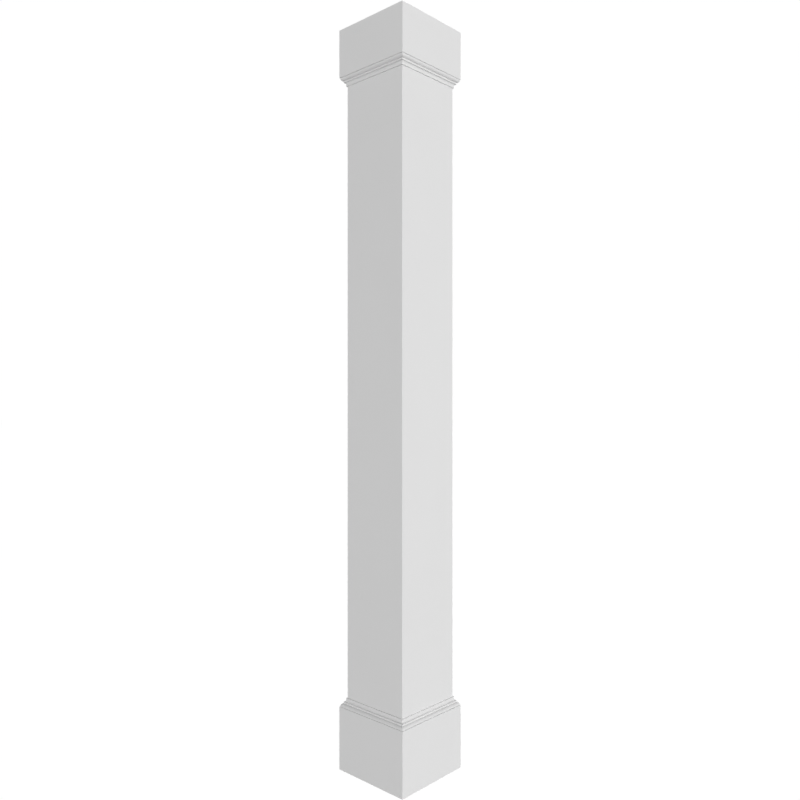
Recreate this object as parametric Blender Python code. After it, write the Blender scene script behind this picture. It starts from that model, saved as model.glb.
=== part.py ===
"""Square porch column wrap: a hollow shaft of four lock-mitred panels in a boxed base and a boxed capital.

Four flat boards box each end of the shaft, and a small moulding runs round the shaft beside them. Boards and
mouldings are mitred at the corners. The wrap stands on its base with the origin in the middle of the underside
and +Z up. Lengths are in metres.
"""

import math

import bmesh
import bpy
from mathutils import Matrix, Vector

# Overall sizes
COLUMN_HEIGHT = 2.4384
SHAFT_WIDTH = 0.2456
CAPITAL_HEIGHT = 0.1845
BASE_HEIGHT = 0.2352

# Stock thicknesses
PANEL_THICKNESS = 0.0159
BOARD_THICKNESS = 0.01905

# Moulding section: ovolo, fillet, cove and lip, from the board towards the middle of the shaft
MOULDING_HEIGHT = 0.0278
MOULDING_THICKNESS = 0.0170
EDGE_HEIGHT = 0.0015
FILLET_HEIGHT = 0.0052
FILLET_STEP = 0.0010
LIP_HEIGHT = 0.0055
LIP_THICKNESS = 0.0031
OVOLO_SHARE_OF_REACH = 0.623
OVOLO_SHARE_OF_HEIGHT = 0.577
ARC_STEPS = 12

# Tongue and groove inside each shaft corner, as a share of the panel's thickness
LOCK_SHARE = 0.2

# Glue line between any two pieces that meet
JOINT = 0.0003

WELD_DISTANCE = 0.00001
SMOOTH_ANGLE = math.radians(20)
SIDES = ("front", "right", "back", "left")
QUARTER_TURN = math.pi / 2

# The outline's X points out of the front face, which looks along -Y, and its Y points up
SECTION_TO_FRONT = Matrix(((0, 0, -1), (-1, 0, 0), (0, 1, 0))).to_4x4()


def pvc_material(name, grey, roughness):
    """Off-white cellular PVC."""
    material = bpy.data.materials.new(name)
    material.use_nodes = True
    shader = material.node_tree.nodes["Principled BSDF"]
    shader.inputs["Base Color"].default_value = (grey, grey, grey, 1)
    shader.inputs["Roughness"].default_value = roughness
    shader.inputs["Metallic"].default_value = 0
    return material


def quarter_arc(centre, first, last):
    """Points of a quarter ellipse about centre, from centre + first round to centre + last."""
    angles = [QUARTER_TURN * step / ARC_STEPS for step in range(ARC_STEPS + 1)]
    return [centre + first * math.cos(angle) + last * math.sin(angle) for angle in angles]


def board_section(height):
    """Flat board: X is the distance out from the shaft, Y is up."""
    return [Vector(corner) for corner in ((0, 0), (BOARD_THICKNESS, 0), (BOARD_THICKNESS, height), (0, height))]


def moulding_section():
    """Moulding with its thick edge down: X is the distance out from the shaft, Y is up."""
    curves_reach = MOULDING_THICKNESS - FILLET_STEP - LIP_THICKNESS
    curves_height = MOULDING_HEIGHT - EDGE_HEIGHT - FILLET_HEIGHT - LIP_HEIGHT
    ovolo_reach = curves_reach * OVOLO_SHARE_OF_REACH
    ovolo_height = curves_height * OVOLO_SHARE_OF_HEIGHT
    cove_reach = curves_reach - ovolo_reach
    cove_height = curves_height - ovolo_height
    fillet = MOULDING_THICKNESS - ovolo_reach
    fillet_top = EDGE_HEIGHT + ovolo_height + FILLET_HEIGHT
    cove_top = fillet_top + cove_height
    ovolo = quarter_arc(Vector((fillet, EDGE_HEIGHT)), Vector((ovolo_reach, 0)), Vector((0, ovolo_height)))
    cove = quarter_arc(
        Vector((LIP_THICKNESS + cove_reach, cove_top)), Vector((0, -cove_height)), Vector((-cove_reach, 0))
    )
    edge = [Vector((0, 0)), Vector((MOULDING_THICKNESS, 0))]
    lip = [Vector((LIP_THICKNESS, MOULDING_HEIGHT)), Vector((0, MOULDING_HEIGHT))]
    return edge + ovolo + [Vector((fillet, fillet_top))] + cove + lip


def lock_mitre(lock_width, lock_depth):
    """Plan of the front panel's right-hand end, from its outer corner to its inner one, with a lock in it.

    The end lies half a glue line inside the diagonal. A positive depth gives a tongue, a negative one a groove.
    """
    outer = Vector((SHAFT_WIDTH / 2 - JOINT * math.sqrt(0.5), -SHAFT_WIDTH / 2))
    along = Vector((-1, 1)).normalized()
    outwards = Vector((1, 1)).normalized()
    face = PANEL_THICKNESS * math.sqrt(2)
    near = along * (face - lock_width) / 2
    far = along * (face + lock_width) / 2
    rise = outwards * lock_depth
    return [outer, outer + near, outer + near + rise, outer + far + rise, outer + far, outer + along * face]


def panel_plan():
    """Plan of the front shaft panel: a tongue in its right-hand mitre and a groove in its left-hand one."""
    lock = PANEL_THICKNESS * LOCK_SHARE
    tongue = lock_mitre(lock, lock)
    groove = lock_mitre(lock + 2 * JOINT, -lock)
    return tongue + [Vector((-point.x, point.y)) for point in reversed(groove)]


def extruded(name, outline, length):
    """Mesh of a flat outline swept by half the length to each side of its own plane."""
    drawing = bpy.data.curves.new(name, "CURVE")
    drawing.dimensions = "2D"
    drawing.fill_mode = "BOTH"
    drawing.extrude = length / 2
    spline = drawing.splines.new("POLY")
    spline.points.add(len(outline) - 1)
    for point, place in zip(spline.points, outline):
        point.co = (place.x, place.y, 0, 1)
    spline.use_cyclic_u = True
    blank = bpy.data.objects.new(name, drawing)
    bpy.context.scene.collection.objects.link(blank)
    mesh = bpy.data.meshes.new_from_object(blank.evaluated_get(bpy.context.evaluated_depsgraph_get()))
    mesh.name = name
    bpy.data.objects.remove(blank)
    bpy.data.curves.remove(drawing)
    return mesh


def finish_mesh(mesh, stock, material):
    """Write the welded solid back to its mesh, faces outwards, with its curved faces smooth."""
    bmesh.ops.recalc_face_normals(stock, faces=stock.faces)
    stock.to_mesh(mesh)
    stock.free()
    mesh.materials.append(material)
    mesh.shade_smooth()
    mesh.set_sharp_from_angle(angle=SMOOTH_ANGLE)
    return mesh


def welded(mesh):
    """The mesh as a bmesh, with the outline's loose caps joined to its walls."""
    stock = bmesh.new()
    stock.from_mesh(mesh)
    bmesh.ops.remove_doubles(stock, verts=stock.verts, dist=WELD_DISTANCE)
    return stock


def panel_mesh(name, material):
    """Front shaft panel, from end to end of the column and centred on the origin."""
    mesh = extruded(name, panel_plan(), COLUMN_HEIGHT)
    return finish_mesh(mesh, welded(mesh), material)


def mitred_mesh(name, section, material):
    """Front length of trim: the section run along X in front of the shaft, with both ends sawn to 45 degrees.

    Each saw cut lies half a glue line from the column's diagonal plane.
    """
    reach = SHAFT_WIDTH / 2 + JOINT
    mesh = extruded(name, section, 2 * (reach + max(point.x for point in section)))
    stock = welded(mesh)
    stock.transform(Matrix.Translation((0, -reach, 0)) @ SECTION_TO_FRONT)
    for end in (1, -1):
        normal = Vector((end, 1, 0)).normalized()
        everything = stock.verts[:] + stock.edges[:] + stock.faces[:]
        bmesh.ops.bisect_plane(
            stock, geom=everything, plane_co=normal * -JOINT / 2, plane_no=normal, clear_outer=True
        )
        sawn = [edge for edge in stock.edges if edge.is_boundary]
        bmesh.ops.holes_fill(stock, edges=sawn, sides=0)
    return finish_mesh(mesh, stock, material)


def place_round(kind, mesh, height, axis, upside_down=False):
    """One object of the mesh on each side of the column, at the given height."""
    for index, side in enumerate(SIDES):
        piece = bpy.data.objects.new(f"{kind}_{side}", mesh)
        piece.location.z = height
        if upside_down:
            piece.rotation_euler = (math.pi, 0, index * QUARTER_TURN + math.pi)
        else:
            piece.rotation_euler.z = index * QUARTER_TURN
        piece.parent = axis
        axis.users_collection[0].objects.link(piece)


def clear_scene():
    """Remove every object of the scene."""
    for item in list(bpy.data.objects):
        bpy.data.objects.remove(item)


def column_axis():
    """The empty that carries every piece, in a collection named for the object."""
    parts = bpy.data.collections.new("porch_column_wrap")
    bpy.context.scene.collection.children.link(parts)
    axis = bpy.data.objects.new("column_axis", None)
    parts.objects.link(axis)
    return axis


def build_shaft(axis):
    """Four panels that interlock at the corners."""
    mesh = panel_mesh("shaft_panel", pvc_material("Shaft panel PVC", 0.84, 0.45))
    place_round("shaft_panel", mesh, COLUMN_HEIGHT / 2, axis)


def build_boards(axis):
    """The flat boards that box the base and the capital."""
    material = pvc_material("Trim board PVC", 0.84, 0.5)
    base_height = BASE_HEIGHT - MOULDING_HEIGHT - JOINT
    capital_height = CAPITAL_HEIGHT - MOULDING_HEIGHT - JOINT
    base = mitred_mesh("base_board", board_section(base_height), material)
    capital = mitred_mesh("capital_board", board_section(capital_height), material)
    place_round("base_board", base, 0, axis)
    place_round("capital_board", capital, COLUMN_HEIGHT - capital_height, axis)


def build_mouldings(axis):
    """The same moulding above the base boards and, upside down, below the capital boards."""
    mesh = mitred_mesh("moulding", moulding_section(), pvc_material("Moulding PVC", 0.85, 0.4))
    place_round("base_moulding", mesh, BASE_HEIGHT - MOULDING_HEIGHT, axis)
    place_round("capital_moulding", mesh, COLUMN_HEIGHT - CAPITAL_HEIGHT + MOULDING_HEIGHT, axis, upside_down=True)


def main():
    """Build the whole wrap."""
    clear_scene()
    axis = column_axis()
    build_shaft(axis)
    build_boards(axis)
    build_mouldings(axis)


main()
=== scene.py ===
"""Porch column wrap: the finished surfaces of its panels, boards and mouldings, in a white studio."""

import math

import bpy
import numpy as np
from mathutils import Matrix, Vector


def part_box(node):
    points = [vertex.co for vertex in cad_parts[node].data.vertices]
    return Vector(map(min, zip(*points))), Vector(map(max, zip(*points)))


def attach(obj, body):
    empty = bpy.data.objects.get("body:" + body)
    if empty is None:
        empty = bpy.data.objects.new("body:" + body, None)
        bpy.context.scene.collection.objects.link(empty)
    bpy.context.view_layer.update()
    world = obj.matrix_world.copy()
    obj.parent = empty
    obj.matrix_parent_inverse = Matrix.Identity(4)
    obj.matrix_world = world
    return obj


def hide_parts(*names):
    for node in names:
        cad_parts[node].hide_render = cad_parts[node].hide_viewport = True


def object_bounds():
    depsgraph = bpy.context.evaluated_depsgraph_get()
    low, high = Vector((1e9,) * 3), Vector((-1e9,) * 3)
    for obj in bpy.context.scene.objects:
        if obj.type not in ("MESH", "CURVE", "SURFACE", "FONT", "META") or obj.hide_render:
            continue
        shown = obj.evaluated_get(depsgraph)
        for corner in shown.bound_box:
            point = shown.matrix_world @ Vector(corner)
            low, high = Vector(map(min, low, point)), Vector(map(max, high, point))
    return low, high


bl_info = {
    "name": "Porch column wrap",
    "version": (1, 0, 0),
    "blender": (4, 5, 0),
    "location": "3D View > Sidebar > Column wrap",
    "description": "Builds the finished pieces of a square PVC column wrap and the studio round them",
    "category": "Object",
}

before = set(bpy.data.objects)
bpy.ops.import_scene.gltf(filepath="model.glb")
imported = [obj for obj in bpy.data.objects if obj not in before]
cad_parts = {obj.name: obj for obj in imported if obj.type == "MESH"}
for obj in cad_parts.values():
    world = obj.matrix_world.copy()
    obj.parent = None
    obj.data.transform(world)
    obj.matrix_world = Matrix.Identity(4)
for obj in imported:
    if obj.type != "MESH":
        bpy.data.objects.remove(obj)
CAD_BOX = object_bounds()
SIDES = ("front", "right", "back", "left")
ROOT = "root"

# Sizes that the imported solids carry. The shaft's reach goes from the column's axis to a panel's outer
# face, and the trim's reach from the axis to the back of the boards and mouldings.
PANEL_LOW, PANEL_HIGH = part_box("shaft_panel_front")
BOARD_LOW, BOARD_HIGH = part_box("base_board_front")
MOULDING_LOW, MOULDING_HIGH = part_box("base_moulding_front")
SHAFT_REACH = -PANEL_LOW.y
PANEL_THICKNESS = PANEL_HIGH.y - PANEL_LOW.y
TRIM_REACH = -BOARD_HIGH.y
BOARD_THICKNESS = BOARD_HIGH.y - BOARD_LOW.y
MOULDING_THICKNESS = MOULDING_HIGH.y - MOULDING_LOW.y
MOULDING_HEIGHT = MOULDING_HIGH.z - MOULDING_LOW.z

# Tongue and groove inside each shaft corner, as a share of the panel's thickness
LOCK_SHARE = 0.2

# Smooth skin. A scale is about how many waves of a pattern there are in a metre, and the swing is how far
# the roughness goes to either side of its middle.
DRIFT_SCALE = 7.0
GRAIN_SCALE = 900.0
PEEL_SCALE = 380.0
PEEL_DEPTH = 0.00006
GLOSS_SCALE = 55.0
GLOSS_SWING = 0.06

# Noise lies in the middle of its range from 0 to 1, so the grain is stretched from this part of it
GRAIN_RANGE = (0.3, 0.7)

# Faint lines that the extruder's die leaves in the skin: their scale along the run and across it. The UV
# map has no third direction.
DIE_LINES = (1.5, 700.0, 1.0)
DIE_LINE_DEPTH = 0.00003

# Sawn edge: cells cut open, with their radius as a share of their spacing, and the saw's scoring. The open
# cells are pits with painted shade in them.
CELL_SCALE = 1400.0
CELL_RADIUS = 0.45
CELL_DEPTH = 0.00012
SCORING_SCALE = 160.0
SCORING_DEPTH = 0.00005
SAWN_ROUGHNESS = 0.78

# A face whose normal's Z is further from 0 than this is taken as level
LEVEL = 0.99

# Width of the frame that the lens is given for, in mm
FRAME_WIDTH = 36

# The floor is a disc of this many sides, this far below the column
FLOOR_SIDES = 96
FLOOR_DROP = 0.0005


class WrapSizes(bpy.types.PropertyGroup):
    """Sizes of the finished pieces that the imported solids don't carry."""

    glue_line: bpy.props.FloatProperty(
        name="Glue line", description="Gap between two mitred faces",
        default=0.0001, min=0, unit="LENGTH",
    )
    corner_ease: bpy.props.FloatProperty(
        name="Corner ease", description="Radius sanded on the corners",
        default=0.0004, min=0.0001, unit="LENGTH",
    )
    board_ease: bpy.props.FloatProperty(
        name="Board ease", description="Radius along the boards' long edges",
        default=0.0005, min=0.0001, unit="LENGTH",
    )
    moulding_ease: bpy.props.FloatProperty(
        name="Moulding ease", description="Radius on the moulding's arrises",
        default=0.0002, min=0.00005, unit="LENGTH",
    )
    edge_height: bpy.props.FloatProperty(
        name="Edge height", description="Flat edge beside the board",
        default=0.0015, unit="LENGTH",
    )
    fillet_height: bpy.props.FloatProperty(
        name="Fillet height", description="Flat band between ovolo and cove",
        default=0.0052, unit="LENGTH",
    )
    fillet_step: bpy.props.FloatProperty(
        name="Fillet step", description="Ledge between fillet and cove",
        default=0.001, unit="LENGTH",
    )
    lip_height: bpy.props.FloatProperty(
        name="Lip height", description="Flat band beyond the cove",
        default=0.0055, unit="LENGTH",
    )
    lip_thickness: bpy.props.FloatProperty(
        name="Lip thickness", description="Thickness of the moulding's thin edge",
        default=0.0031, unit="LENGTH",
    )
    ovolo_share_of_reach: bpy.props.FloatProperty(
        name="Ovolo's share of reach", description="The cove has the rest",
        default=0.623, min=0, max=1, subtype="FACTOR",
    )
    ovolo_share_of_height: bpy.props.FloatProperty(
        name="Ovolo's share of height", description="The cove has the rest",
        default=0.577, min=0, max=1, subtype="FACTOR",
    )
    curve_steps: bpy.props.IntProperty(
        name="Curve steps", description="Facets in a quarter of the ovolo and of the cove",
        default=24, min=2,
    )
    ease_steps: bpy.props.IntProperty(
        name="Ease steps", description="Facets round an eased arris",
        default=4, min=1,
    )


class WrapFinish(bpy.types.PropertyGroup):
    """Colours and gloss of the PVC."""

    skin_light: bpy.props.FloatVectorProperty(
        name="Skin, lighter", description="Lighter tint of the smooth face",
        default=(0.845, 0.845, 0.845), subtype="COLOR",
    )
    skin_dark: bpy.props.FloatVectorProperty(
        name="Skin, darker", description="Darker tint of the smooth face",
        default=(0.825, 0.825, 0.825), subtype="COLOR",
    )
    sawn_light: bpy.props.FloatVectorProperty(
        name="Sawn, lighter", description="Lighter tint of a sawn edge",
        default=(0.86, 0.86, 0.855), subtype="COLOR",
    )
    # Painted shade: the darker tint put in the open cells of a sawn edge, where the pits would be shaded
    sawn_cell_shade: bpy.props.FloatVectorProperty(
        name="Sawn, darker", description="Tint of the cells in a sawn edge",
        default=(0.70, 0.70, 0.69), subtype="COLOR",
    )
    grain: bpy.props.FloatProperty(
        name="Grain", description="How far the skin's tint varies from one mm to the next",
        default=0.012, min=0, max=1, subtype="FACTOR",
    )
    panel_roughness: bpy.props.FloatProperty(
        name="Panel roughness", description="Roughness of the shaft's faces",
        default=0.5, min=0, max=1,
    )
    board_roughness: bpy.props.FloatProperty(
        name="Board roughness", description="Roughness of the boards' faces",
        default=0.52, min=0, max=1,
    )
    moulding_roughness: bpy.props.FloatProperty(
        name="Moulding roughness", description="Roughness of the extruded moulding",
        default=0.46, min=0, max=1,
    )


class WrapStudio(bpy.types.PropertyGroup):
    """Camera, floor and lights."""

    azimuth: bpy.props.FloatProperty(
        name="Azimuth", description="Direction of the camera, from the front face",
        default=math.radians(43.02), subtype="ANGLE",
    )
    distance: bpy.props.FloatProperty(
        name="Distance", description="From the camera to the column's axis",
        default=2.5438, unit="LENGTH",
    )
    side_step: bpy.props.FloatProperty(
        name="Side step", description="Camera's place left of the axis",
        default=0.00054, unit="LENGTH",
    )
    eye_height: bpy.props.FloatProperty(
        name="Eye height", description="Height of the level camera",
        default=1.2194, unit="LENGTH",
    )
    lens: bpy.props.FloatProperty(
        name="Lens", description="Focal length on a 36 mm frame",
        default=34.58, min=1, unit="CAMERA",
    )
    room_grey: bpy.props.FloatProperty(
        name="Room grey", description="Even light from all round",
        default=0.25, min=0,
    )
    seen_white: bpy.props.FloatProperty(
        name="Seen white", description="Brightness of the room to the camera",
        default=1.005, min=0,
    )
    side_lights: bpy.props.FloatVectorProperty(
        name="Side lights", description="Strength of the lights on the front, right, back and left",
        size=4, default=(1.222, 2.0, 0.7, 1.1), min=0,
    )
    side_rises: bpy.props.FloatVectorProperty(
        name="Side rises", description="How far above level each side light stands",
        size=4, default=[math.radians(rise) for rise in (-2.4, 4.2, 0.0, 0.0)],
        subtype="EULER", unit="ROTATION",
    )
    side_spread: bpy.props.FloatProperty(
        name="Side spread", description="Angle that a side light fills",
        default=math.radians(12), subtype="ANGLE",
    )
    top_light: bpy.props.FloatProperty(
        name="Top light", description="Power of the lamp over the sawn top",
        default=6.0, min=0, unit="POWER",
    )
    under_light: bpy.props.FloatProperty(
        name="Under light", description="Power of the lamp under the sawn base",
        default=4.7, min=0, unit="POWER",
    )
    end_distance: bpy.props.FloatProperty(
        name="End distance", description="From the top and under lights to the end that each faces",
        default=1.0, unit="LENGTH",
    )
    floor_radius: bpy.props.FloatProperty(
        name="Floor radius", description="Radius of the round floor",
        default=40.0, unit="LENGTH",
    )
    floor_glow: bpy.props.FloatProperty(
        name="Floor glow", description="Brightness of its own light, which takes no shadow",
        default=0.99, min=0,
    )
    floor_grey: bpy.props.FloatProperty(
        name="Floor grey", description="Grey of its matt coat, which takes shadows",
        default=0.05, min=0, max=1,
    )


def quarter_arc(centre, first, last, steps):
    """Quarter ellipse: centre + first times the cosine + last times the sine of an angle.

    The angle goes from 0 to 90 degrees.
    """
    angle = np.linspace(0, math.pi / 2, steps + 1)[:, None]
    return np.asarray(centre) + np.asarray(first) * np.cos(angle) + np.asarray(last) * np.sin(angle)


def joined(arcs):
    """A closed outline from arcs given in order, with straight lines between them.

    Returns its points and, for the stretch after each point, whether it belongs to an arc.
    """
    points = np.concatenate(arcs)
    curved = np.concatenate([np.arange(len(arc)) < len(arc) - 1 for arc in arcs])
    return points, curved


def board_section(thickness, height, ease, steps):
    """Rectangle of the board's section with each corner a quarter circle of the ease."""
    return joined([
        quarter_arc((ease, ease), (-ease, 0), (0, -ease), steps),
        quarter_arc((thickness - ease, ease), (0, -ease), (ease, 0), steps),
        quarter_arc((thickness - ease, height - ease), (ease, 0), (0, ease), steps),
        quarter_arc((ease, height - ease), (0, ease), (-ease, 0), steps),
    ])


def moulding_section(sizes):
    """Section of the moulding, thick edge down: flat edge, ovolo, fillet, cove and lip.

    The ovolo is a convex quarter ellipse and the cove a concave one. They share the reach and the height
    that the flat bands leave.
    """
    ease, fine, coarse = sizes.moulding_ease, sizes.curve_steps, sizes.ease_steps
    reach = MOULDING_THICKNESS - sizes.fillet_step - sizes.lip_thickness
    height = MOULDING_HEIGHT - sizes.edge_height - sizes.fillet_height - sizes.lip_height
    ovolo_reach = reach * sizes.ovolo_share_of_reach
    ovolo_height = height * sizes.ovolo_share_of_height
    cove_reach = reach - ovolo_reach
    cove_height = height - ovolo_height
    fillet = MOULDING_THICKNESS - ovolo_reach
    fillet_top = sizes.edge_height + ovolo_height + sizes.fillet_height
    cove_top = fillet_top + cove_height
    lip = sizes.lip_thickness
    return joined([
        quarter_arc((ease, ease), (-ease, 0), (0, -ease), coarse),
        quarter_arc((MOULDING_THICKNESS - ease, ease), (0, -ease), (ease, 0), coarse),
        quarter_arc((fillet, sizes.edge_height), (ovolo_reach, 0), (0, ovolo_height), fine),
        quarter_arc((fillet - ease, fillet_top - ease), (ease, 0), (0, ease), coarse),
        quarter_arc((lip + cove_reach, cove_top), (0, -cove_height), (-cove_reach, 0), fine),
        quarter_arc((lip - ease, MOULDING_HEIGHT - ease), (ease, 0), (0, ease), coarse),
        quarter_arc((ease, MOULDING_HEIGHT - ease), (0, ease), (-ease, 0), coarse),
    ])


def corner_angles(sizes):
    """Angles round a piece's share of a rounded corner, from the front's direction towards the diagonal.

    The last one is where the corner's circle is half a glue line from the diagonal plane.
    """
    last = math.acos(sizes.glue_line / (2 * sizes.corner_ease)) - math.pi / 4
    return np.linspace(0, last, sizes.ease_steps + 1)


def mitred_rings(section, reach, base, sizes):
    """The section carried along the front from one mitre to the other, as an array of rings of points.

    A point of the section, t out from the trim's back face and v up, runs along a square of half width
    a = reach + t, whose corners are rounded by r:
    x = side (a - r) + r sin(angle), y = -(a - r) - r cos(angle), z = base + v.
    """
    quarter = corner_angles(sizes)
    angle = np.concatenate([-quarter[::-1], quarter])[:, None]
    side = np.repeat((-1.0, 1.0), len(quarter))[:, None]
    radius = sizes.corner_ease
    straight = reach + section[:, 0] - radius
    x = side * straight + radius * np.sin(angle)
    y = -straight - radius * np.cos(angle)
    z = np.broadcast_to(base + section[:, 1], x.shape)
    curved = np.arange(len(angle)) != len(quarter) - 1
    return np.stack([x, y, z], axis=-1), curved[:-1]


def panel_plan(sizes):
    """Plan of the front shaft panel: eased outer corners, a tongue to the right, a groove to the left.

    With s the shaft's reach and r the radius, a corner is x = s - r + r sin(angle),
    y = -(s - r) - r cos(angle). It ends half a glue line from the diagonal, and the mitre runs on
    parallel to that.
    """
    radius = sizes.corner_ease
    angle = corner_angles(sizes)
    corner = np.stack([
        SHAFT_REACH - radius + radius * np.sin(angle), radius - SHAFT_REACH - radius * np.cos(angle)
    ], axis=1)
    along = np.array((-1.0, 1.0)) * math.sqrt(0.5)
    outwards = np.array((1.0, 1.0)) * math.sqrt(0.5)
    face = (PANEL_THICKNESS - SHAFT_REACH - corner[-1, 1]) * math.sqrt(2)
    lock = PANEL_THICKNESS * LOCK_SHARE

    def mitre(width, depth):
        """From the corner's end across the panel, with a lock of that width standing out by the depth."""
        near, far = (face - width) / 2, (face + width) / 2
        steps = np.array((near, near, far, far, face))
        rise = np.array((0, depth, depth, 0, 0))
        return corner[-1] + along * steps[:, None] + outwards * rise[:, None]

    right = np.concatenate([corner, mitre(lock, lock)])
    left = np.concatenate([corner, mitre(lock + 2 * sizes.glue_line, -lock)])
    plan = np.concatenate([right, left[::-1] * (-1, 1)])
    in_corner = np.arange(len(right)) < len(angle) - 1
    curved = np.concatenate([in_corner, np.roll(in_corner[::-1], -1)])
    return plan, curved


def panel_rings(plan):
    """The plan at the panel's two ends, the upper one first so that the faces look outwards."""
    ends = np.array((PANEL_HIGH.z, PANEL_LOW.z))
    x, z = np.meshgrid(plan[:, 0], ends)
    y = np.broadcast_to(plan[:, 1], x.shape)
    return np.stack([x, y, z], axis=-1)


def turned(rings, side, upside_down=False):
    """The rings turned over about X if asked, and then by quarter turns from the front to the side."""
    quarter = math.pi / 2 * (SIDES.index(side) + 2 * upside_down)
    cos, sin = round(math.cos(quarter)), round(math.sin(quarter))
    if upside_down:
        rings = rings * (1, -1, -1)
    return rings @ np.array(((cos, sin, 0), (-sin, cos, 0), (0, 0, 1)))


def run_map(rings):
    """UVs of the mesh through the rings, in the order of its corners.

    A wall's are metres along the run, summed over the steps between the rings' middles, and metres round
    the ring, summed over the first ring's steps. A cap's are its own plane: X and Y where it is level, or
    else the level distance from its first point, and Z.
    """
    step_round = np.linalg.norm(np.roll(rings[0], -1, axis=0) - rings[0], axis=1)
    around = np.concatenate([[0], np.cumsum(step_round)])
    step_along = np.linalg.norm(np.diff(rings.mean(axis=1), axis=0), axis=1)
    along = np.concatenate([[0], np.cumsum(step_along)])
    run, turn = np.meshgrid(along[:-1], around[:-1], indexing="ij")
    run_next, turn_next = np.meshgrid(along[1:], around[1:], indexing="ij")
    corners = ((run, turn), (run_next, turn), (run_next, turn_next), (run, turn_next))
    walls = np.stack([np.stack(corner, axis=-1) for corner in corners], axis=2).reshape(-1, 2)
    cap = rings[0] - rings[0, 0]
    if np.ptp(cap[:, 2]) == 0:
        flat = cap[:, :2]
    else:
        flat = np.stack([np.hypot(cap[:, 0], cap[:, 1]), cap[:, 2]], axis=-1)
    return np.concatenate([walls, flat, flat[::-1]])


def solid_mesh(name, rings, ring_curved, run_curved):
    """Closed mesh through rings of points: quads between neighbouring rings, and a flat cap at each end.

    A face is smooth where its stretch of the ring or of the run is curved.
    """
    count, size = rings.shape[:2]
    vertex = np.arange(count * size).reshape(count, size)
    following = np.roll(vertex, -1, axis=1)
    quads = np.stack([vertex[:-1], vertex[1:], following[1:], following[:-1]], axis=-1).reshape(-1, 4)
    caps = [vertex[0].tolist(), vertex[-1, ::-1].tolist()]
    mesh = bpy.data.meshes.new(name)
    mesh.from_pydata(rings.reshape(-1, 3), [], quads.tolist() + caps)
    smooth = np.logical_or.outer(run_curved, ring_curved).ravel()
    mesh.polygons.foreach_set("use_smooth", np.concatenate([smooth, (False, False)]))
    layer = mesh.uv_layers.new(name="run")
    layer.data.foreach_set("uv", run_map(rings).ravel())
    mesh.update()
    return mesh


def pvc_nodes(name):
    """A new material with its Principled shader, and a function that adds and wires its nodes."""
    material = bpy.data.materials.new(name)
    material.use_nodes = True
    tree = material.node_tree
    shader = tree.nodes["Principled BSDF"]

    def add(kind, sources=(), **values):
        """A node of the kind, with values on its sockets or settings and sources wired to its sockets."""
        node = tree.nodes.new(kind)
        for key, value in values.items():
            if key in node.inputs:
                node.inputs[key].default_value = value
            else:
                setattr(node, key, value)
        for key, source in dict(sources).items():
            tree.links.new(source, node.inputs[key])
        return node

    return material, tree, shader, add


def skin_material(name, finish, roughness):
    """Smooth skin of cellular PVC: faint drift and grain of tint, orange peel, and die lines."""
    material, tree, shader, add = pvc_nodes(name)
    place = add("ShaderNodeTexCoord").outputs["Object"]
    run = add("ShaderNodeUVMap", uv_map="run").outputs["UV"]
    stretched = add("ShaderNodeMapping", {"Vector": run}, Scale=DIE_LINES).outputs["Vector"]
    drift = add("ShaderNodeTexNoise", {"Vector": place}, Scale=DRIFT_SCALE, Detail=3.0, Roughness=0.55)
    grain = add("ShaderNodeTexNoise", {"Vector": place}, Scale=GRAIN_SCALE, Detail=1.0)
    lines = add("ShaderNodeTexNoise", {"Vector": stretched}, Scale=1.0, Detail=2.0)
    peel = add("ShaderNodeTexNoise", {"Vector": place}, Scale=PEEL_SCALE, Detail=2.0)
    gloss = add("ShaderNodeTexNoise", {"Vector": place}, Scale=GLOSS_SCALE, Detail=4.0)

    tint = add("ShaderNodeMix", {"Factor": drift.outputs["Fac"]}, data_type="RGBA")
    tint.inputs["A"].default_value = (*finish.skin_dark, 1)
    tint.inputs["B"].default_value = (*finish.skin_light, 1)
    speck = add("ShaderNodeMapRange", {"Value": grain.outputs["Fac"]})
    speck.inputs["From Min"].default_value, speck.inputs["From Max"].default_value = GRAIN_RANGE
    speck.inputs["To Min"].default_value = 1 - finish.grain
    speck.inputs["To Max"].default_value = 1 + finish.grain
    speckled = add(
        "ShaderNodeVectorMath", {0: tint.outputs["Result"], "Scale": speck.outputs["Result"]},
        operation="SCALE",
    )
    rough = add("ShaderNodeMapRange", {"Value": gloss.outputs["Fac"]})
    rough.inputs["To Min"].default_value = roughness - GLOSS_SWING
    rough.inputs["To Max"].default_value = roughness + GLOSS_SWING
    fine = add("ShaderNodeBump", {"Height": peel.outputs["Fac"]}, Strength=0.6, Distance=PEEL_DEPTH)
    both = add(
        "ShaderNodeBump", {"Height": lines.outputs["Fac"], "Normal": fine.outputs["Normal"]},
        Strength=0.5, Distance=DIE_LINE_DEPTH,
    )
    tree.links.new(speckled.outputs["Vector"], shader.inputs["Base Color"])
    tree.links.new(rough.outputs["Result"], shader.inputs["Roughness"])
    tree.links.new(both.outputs["Normal"], shader.inputs["Normal"])
    return material


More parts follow.
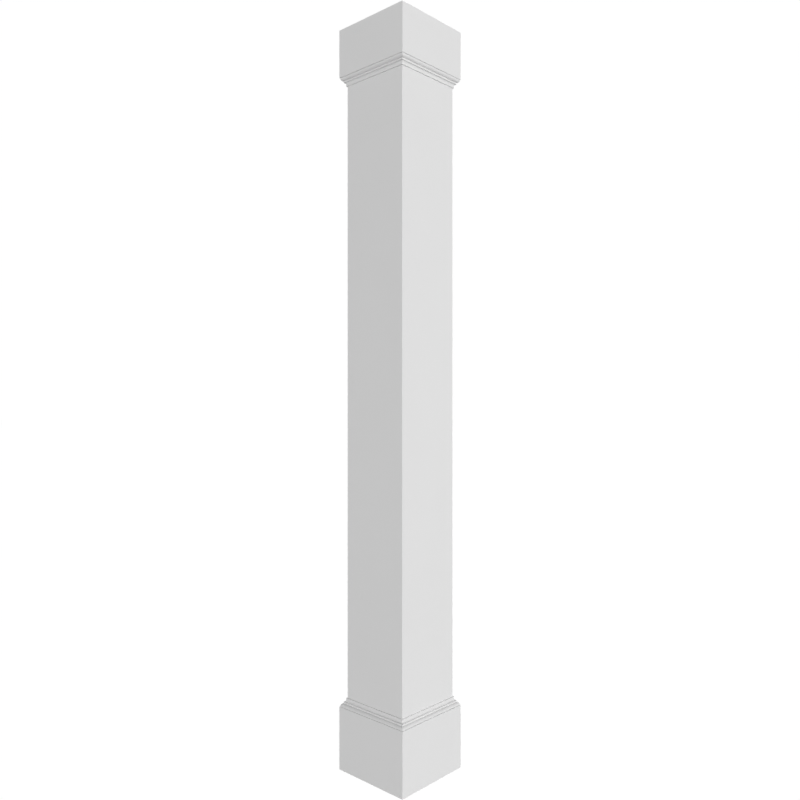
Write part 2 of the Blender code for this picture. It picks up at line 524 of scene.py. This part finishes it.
def sawn_material(name, finish):
    """Sawn edge of cellular PVC: the skin is gone, so fine cells and the saw's light scoring show. The
    cells are bumped in as pits and darkened with painted shade.
    """
    material, tree, shader, add = pvc_nodes(name)
    place = add("ShaderNodeTexCoord").outputs["Object"]
    cells = add("ShaderNodeTexVoronoi", {"Vector": place}, Scale=CELL_SCALE)
    speck = add("ShaderNodeMapRange", {"Value": cells.outputs["Distance"]})
    speck.inputs["From Max"].default_value = CELL_RADIUS
    # Painted shade: the cells get the darker tint where their pits are deepest, on the same distance as
    # their bump
    tint = add("ShaderNodeMix", {"Factor": speck.outputs["Result"]}, data_type="RGBA")
    tint.inputs["A"].default_value = (*finish.sawn_cell_shade, 1)
    tint.inputs["B"].default_value = (*finish.sawn_light, 1)
    scoring = add("ShaderNodeTexWave", {"Vector": place}, Scale=SCORING_SCALE, Distortion=2.5, Detail=2.0)
    pits = add("ShaderNodeBump", {"Height": speck.outputs["Result"]}, Strength=0.6, Distance=CELL_DEPTH)
    both = add(
        "ShaderNodeBump", {"Height": scoring.outputs["Fac"], "Normal": pits.outputs["Normal"]},
        Strength=0.25, Distance=SCORING_DEPTH,
    )
    tree.links.new(tint.outputs["Result"], shader.inputs["Base Color"])
    tree.links.new(both.outputs["Normal"], shader.inputs["Normal"])
    shader.inputs["Roughness"].default_value = SAWN_ROUGHNESS
    return material


def show_piece(mesh, node, skin, sawn, sawn_faces):
    """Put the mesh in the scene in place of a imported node, with some faces sawn and the others smooth."""
    mesh.materials.append(skin)
    mesh.materials.append(sawn)
    indices = np.zeros(len(mesh.polygons), np.int32)
    indices[sawn_faces(mesh)] = 1
    mesh.polygons.foreach_set("material_index", indices)
    piece = bpy.data.objects.new(mesh.name, mesh)
    bpy.context.scene.collection.objects.link(piece)
    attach(piece, ROOT)
    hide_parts(node)


def level_faces(mesh):
    """Faces that look straight up or down."""
    normals = np.empty(len(mesh.polygons) * 3, np.float32)
    mesh.polygons.foreach_get("normal", normals)
    return np.abs(normals.reshape(-1, 3)[:, 2]) > LEVEL


def end_faces(mesh):
    """The two caps, which are the mesh's last faces."""
    return np.arange(len(mesh.polygons)) >= len(mesh.polygons) - 2


class WRAP_OT_shaft_panels(bpy.types.Operator):
    """Add the four shaft panels, locked together at eased corners"""

    bl_idname = "column_wrap.shaft_panels"
    bl_label = "Shaft panels"

    def execute(self, context):
        scene = context.scene
        skin = skin_material("Panel skin", scene.wrap_finish, scene.wrap_finish.panel_roughness)
        sawn = sawn_material("Panel sawn end", scene.wrap_finish)
        plan, curved = panel_plan(scene.wrap_sizes)
        rings = panel_rings(plan)
        for side in SIDES:
            mesh = solid_mesh(f"finished_panel_{side}", turned(rings, side), curved, np.array([False]))
            show_piece(mesh, f"shaft_panel_{side}", skin, sawn, level_faces)
        return {"FINISHED"}


class WRAP_OT_boards(bpy.types.Operator):
    """Add the flat boards of the base and the capital"""

    bl_idname = "column_wrap.boards"
    bl_label = "Base and capital boards"

    def execute(self, context):
        scene = context.scene
        sizes = scene.wrap_sizes
        skin = skin_material("Board skin", scene.wrap_finish, scene.wrap_finish.board_roughness)
        sawn = sawn_material("Board sawn edge", scene.wrap_finish)
        for level in ("base", "capital"):
            low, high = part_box(f"{level}_board_front")
            height = high.z - low.z
            section, curved = board_section(BOARD_THICKNESS, height, sizes.board_ease, sizes.ease_steps)
            rings, run_curved = mitred_rings(section, TRIM_REACH, low.z, sizes)
            for side in SIDES:
                placed = turned(rings, side)
                mesh = solid_mesh(f"finished_{level}_board_{side}", placed, curved, run_curved)
                show_piece(mesh, f"{level}_board_{side}", skin, sawn, level_faces)
        return {"FINISHED"}


class WRAP_OT_mouldings(bpy.types.Operator):
    """Add the mouldings, thick edge against the boards of the base and of the capital"""

    bl_idname = "column_wrap.mouldings"
    bl_label = "Mouldings"

    def execute(self, context):
        scene = context.scene
        sizes = scene.wrap_sizes
        skin = skin_material("Moulding skin", scene.wrap_finish, scene.wrap_finish.moulding_roughness)
        sawn = sawn_material("Moulding sawn end", scene.wrap_finish)
        section, curved = moulding_section(sizes)
        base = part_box("base_moulding_front")[0].z
        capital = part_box("capital_moulding_front")[1].z
        for level, start, over in (("base", base, False), ("capital", -capital, True)):
            rings, run_curved = mitred_rings(section, TRIM_REACH, start, sizes)
            for side in SIDES:
                placed = turned(rings, side, over)
                mesh = solid_mesh(f"finished_{level}_moulding_{side}", placed, curved, run_curved)
                show_piece(mesh, f"{level}_moulding_{side}", skin, sawn, end_faces)
        return {"FINISHED"}


def add_sun(name, strength, spread, rotation):
    """A distant soft light that shines along its own -Z."""
    light = bpy.data.lights.new(name, "SUN")
    light.energy = strength
    light.angle = spread
    lamp = bpy.data.objects.new(name, light)
    lamp.rotation_euler = rotation
    bpy.context.scene.collection.objects.link(lamp)


def add_end_lamp(name, power, height, rotation):
    """A square lamp on the column's axis that shines along its own -Z on one end of it.

    It is only as wide as the shaft, so its light falls on the sawn end and inside the shaft, and misses
    the outer faces.
    """
    light = bpy.data.lights.new(name, "AREA")
    light.energy = power
    light.size = 2 * SHAFT_REACH
    lamp = bpy.data.objects.new(name, light)
    lamp.location.z = height
    lamp.rotation_euler = rotation
    lamp.visible_camera = False
    bpy.context.scene.collection.objects.link(lamp)


def white_room(studio):
    """World that is white to look at and lights the column evenly with a grey."""
    world = bpy.data.worlds.new("White room")
    world.use_nodes = True
    tree = world.node_tree
    even = tree.nodes["Background"]
    even.inputs["Color"].default_value = (1, 1, 1, 1)
    even.inputs["Strength"].default_value = studio.room_grey
    seen = tree.nodes.new("ShaderNodeBackground")
    seen.inputs["Color"].default_value = (1, 1, 1, 1)
    seen.inputs["Strength"].default_value = studio.seen_white
    path = tree.nodes.new("ShaderNodeLightPath")
    mix = tree.nodes.new("ShaderNodeMixShader")
    tree.links.new(path.outputs["Is Camera Ray"], mix.inputs["Fac"])
    tree.links.new(even.outputs["Background"], mix.inputs[1])
    tree.links.new(seen.outputs["Background"], mix.inputs[2])
    tree.links.new(mix.outputs["Shader"], tree.nodes["World Output"].inputs["Surface"])
    return world


def floor_material(studio):
    """Pale floor: a white glow under a faint matt white that takes shadows, and clear from below."""
    material = bpy.data.materials.new("Pale floor")
    material.use_nodes = True
    tree = material.node_tree
    shader = tree.nodes["Principled BSDF"]
    grey = studio.floor_grey
    shader.inputs["Base Color"].default_value = (grey, grey, grey, 1)
    shader.inputs["Roughness"].default_value = 1
    shader.inputs["Specular IOR Level"].default_value = 0
    shader.inputs["Emission Color"].default_value = (1, 1, 1, 1)
    shader.inputs["Emission Strength"].default_value = studio.floor_glow
    clear = tree.nodes.new("ShaderNodeBsdfTransparent")
    facing = tree.nodes.new("ShaderNodeNewGeometry")
    mix = tree.nodes.new("ShaderNodeMixShader")
    tree.links.new(facing.outputs["Backfacing"], mix.inputs["Fac"])
    tree.links.new(shader.outputs["BSDF"], mix.inputs[1])
    tree.links.new(clear.outputs["BSDF"], mix.inputs[2])
    tree.links.new(mix.outputs["Shader"], tree.nodes["Material Output"].inputs["Surface"])
    return material


def add_floor(studio):
    """Round floor just under the column: x = radius cos(angle), y = radius sin(angle), at one height."""
    angle = np.linspace(0, 2 * math.pi, FLOOR_SIDES, endpoint=False)
    height = np.full_like(angle, CAD_BOX[0].z - FLOOR_DROP)
    radius = studio.floor_radius
    rim = np.stack([radius * np.cos(angle), radius * np.sin(angle), height], axis=1)
    mesh = bpy.data.meshes.new("Floor")
    mesh.from_pydata(rim, [], [list(range(len(rim)))])
    mesh.materials.append(floor_material(studio))
    floor = bpy.data.objects.new("Floor", mesh)
    floor.visible_diffuse = False
    floor.visible_glossy = False
    floor.visible_shadow = False
    bpy.context.scene.collection.objects.link(floor)


def add_camera(studio):
    """Level camera at the eye's height, looking past the axis by the side step."""
    data = bpy.data.cameras.new("Camera")
    data.sensor_width = FRAME_WIDTH
    data.lens = studio.lens
    camera = bpy.data.objects.new("Camera", data)
    cos, sin = math.cos(studio.azimuth), math.sin(studio.azimuth)
    camera.location = (
        studio.distance * sin - studio.side_step * cos,
        -studio.distance * cos - studio.side_step * sin,
        studio.eye_height,
    )
    camera.rotation_euler = (math.pi / 2, 0, studio.azimuth)
    bpy.context.scene.collection.objects.link(camera)
    bpy.context.scene.camera = camera


class WRAP_OT_stage(bpy.types.Operator):
    """Add the floor, the room, the lights and the camera"""

    bl_idname = "column_wrap.stage"
    bl_label = "Studio"

    def execute(self, context):
        scene = context.scene
        studio = scene.wrap_studio
        add_floor(studio)
        upright = math.pi / 2
        for turn, side in enumerate(SIDES):
            rotation = (upright - studio.side_rises[turn], 0, turn * upright)
            add_sun(f"{side} light", studio.side_lights[turn], studio.side_spread, rotation)
        over = CAD_BOX[1].z + studio.end_distance
        under = CAD_BOX[0].z - studio.end_distance
        add_end_lamp("top light", studio.top_light, over, (0, 0, 0))
        add_end_lamp("under light", studio.under_light, under, (math.pi, 0, 0))
        scene.world = white_room(studio)
        scene.view_settings.view_transform = "Standard"
        add_camera(studio)
        return {"FINISHED"}


class WRAP_PT_panel(bpy.types.Panel):
    """Lists the wrap's sizes, finish and studio"""

    bl_label = "Column wrap"
    bl_space_type = "VIEW_3D"
    bl_region_type = "UI"
    bl_category = "Column wrap"

    def draw(self, context):
        groups = (
            (context.scene.wrap_sizes, PIECE_OPERATORS),
            (context.scene.wrap_finish, ()),
            (context.scene.wrap_studio, (WRAP_OT_stage,)),
        )
        for group, operators in groups:
            box = self.layout.box()
            for key in group.__annotations__:
                box.prop(group, key)
            for operator in operators:
                box.operator(operator.bl_idname)


PIECE_OPERATORS = (WRAP_OT_shaft_panels, WRAP_OT_boards, WRAP_OT_mouldings)
CLASSES = (WrapSizes, WrapFinish, WrapStudio, *PIECE_OPERATORS, WRAP_OT_stage, WRAP_PT_panel)
GROUPS = {"wrap_sizes": WrapSizes, "wrap_finish": WrapFinish, "wrap_studio": WrapStudio}


def register():
    """Register the classes and hang the property groups on the scene."""
    for item in CLASSES:
        bpy.utils.register_class(item)
    for key, group in GROUPS.items():
        setattr(bpy.types.Scene, key, bpy.props.PointerProperty(type=group))


def unregister():
    """Undo register."""
    for key in GROUPS:
        delattr(bpy.types.Scene, key)
    for item in reversed(CLASSES):
        bpy.utils.unregister_class(item)


def main():
    """Build the pieces and the studio."""
    register()
    bpy.ops.column_wrap.shaft_panels()
    bpy.ops.column_wrap.boards()
    bpy.ops.column_wrap.mouldings()
    bpy.ops.column_wrap.stage()


if __name__ == "__main__":
    main()
